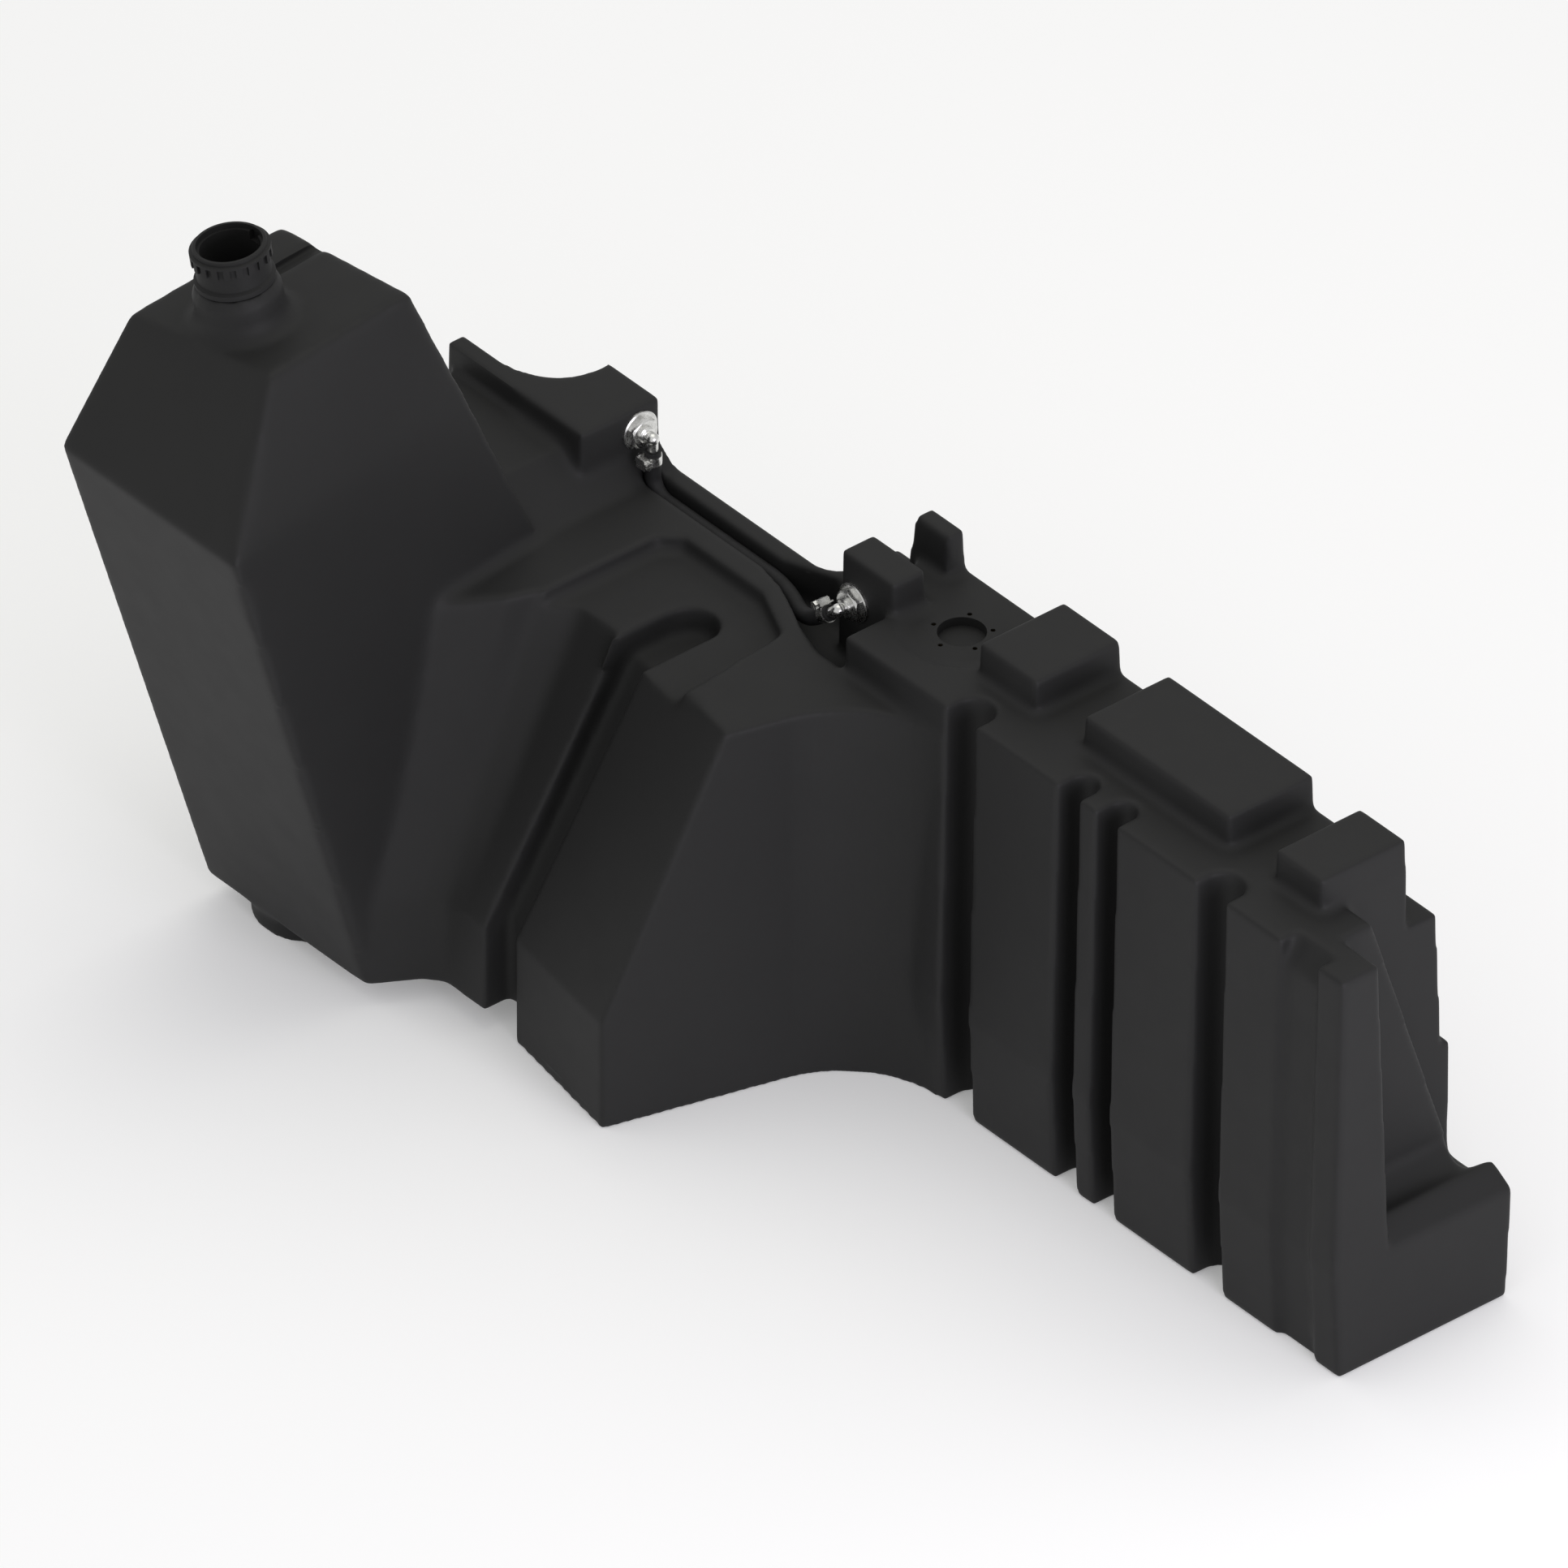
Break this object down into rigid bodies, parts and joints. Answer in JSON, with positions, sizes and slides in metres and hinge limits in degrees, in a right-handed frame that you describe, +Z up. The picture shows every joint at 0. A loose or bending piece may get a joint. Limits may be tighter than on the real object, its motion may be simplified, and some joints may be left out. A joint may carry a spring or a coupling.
{
  "type": "fuel_tank",
  "caption": "Black moulded plastic fuel tank with a long ribbed side section, a saddle and a tall filler tower, joined by a vent hose between two elbow fittings",
  "frame": {"origin": "on the plane the tank stands on, straight below the middle of the level sender's bolt circle", "axes": "+X along the long side section towards its free end, +Y to the rear of that section, +Z up"},
  "size_m": [1.187, 0.657, 0.7561],
  "materials": {
    "moulded_plastic": "black polyethylene with a fine moulded texture",
    "neck_plastic": "dark grey plastic, slightly smoother",
    "zinc_steel": "bright zinc plated steel",
    "hose_rubber": "smooth black rubber",
    "brass": "machined brass"
  },
  "bodies": {
    "root": {"tank_shell": "moulded_plastic", "filler_neck": "neck_plastic", "neck_seal": "hose_rubber", "vent_hose": "hose_rubber", "drain_insert": "brass", "drain_seal": "hose_rubber", "drain_plug": "zinc_steel", "sender_insert_1": "brass", "sender_insert_2": "brass", "sender_insert_3": "brass", "sender_insert_4": "brass", "sender_insert_5": "brass", "tower_insert": "brass", "tower_washer": "zinc_steel", "tower_nut": "zinc_steel", "tower_elbow": "zinc_steel", "tower_clamp": "zinc_steel", "tower_clamp_screw": "zinc_steel", "deck_insert": "brass", "deck_washer": "zinc_steel", "deck_nut": "zinc_steel", "deck_elbow": "zinc_steel", "deck_clamp": "zinc_steel", "deck_clamp_screw": "zinc_steel"}
  },
  "joints": []
}
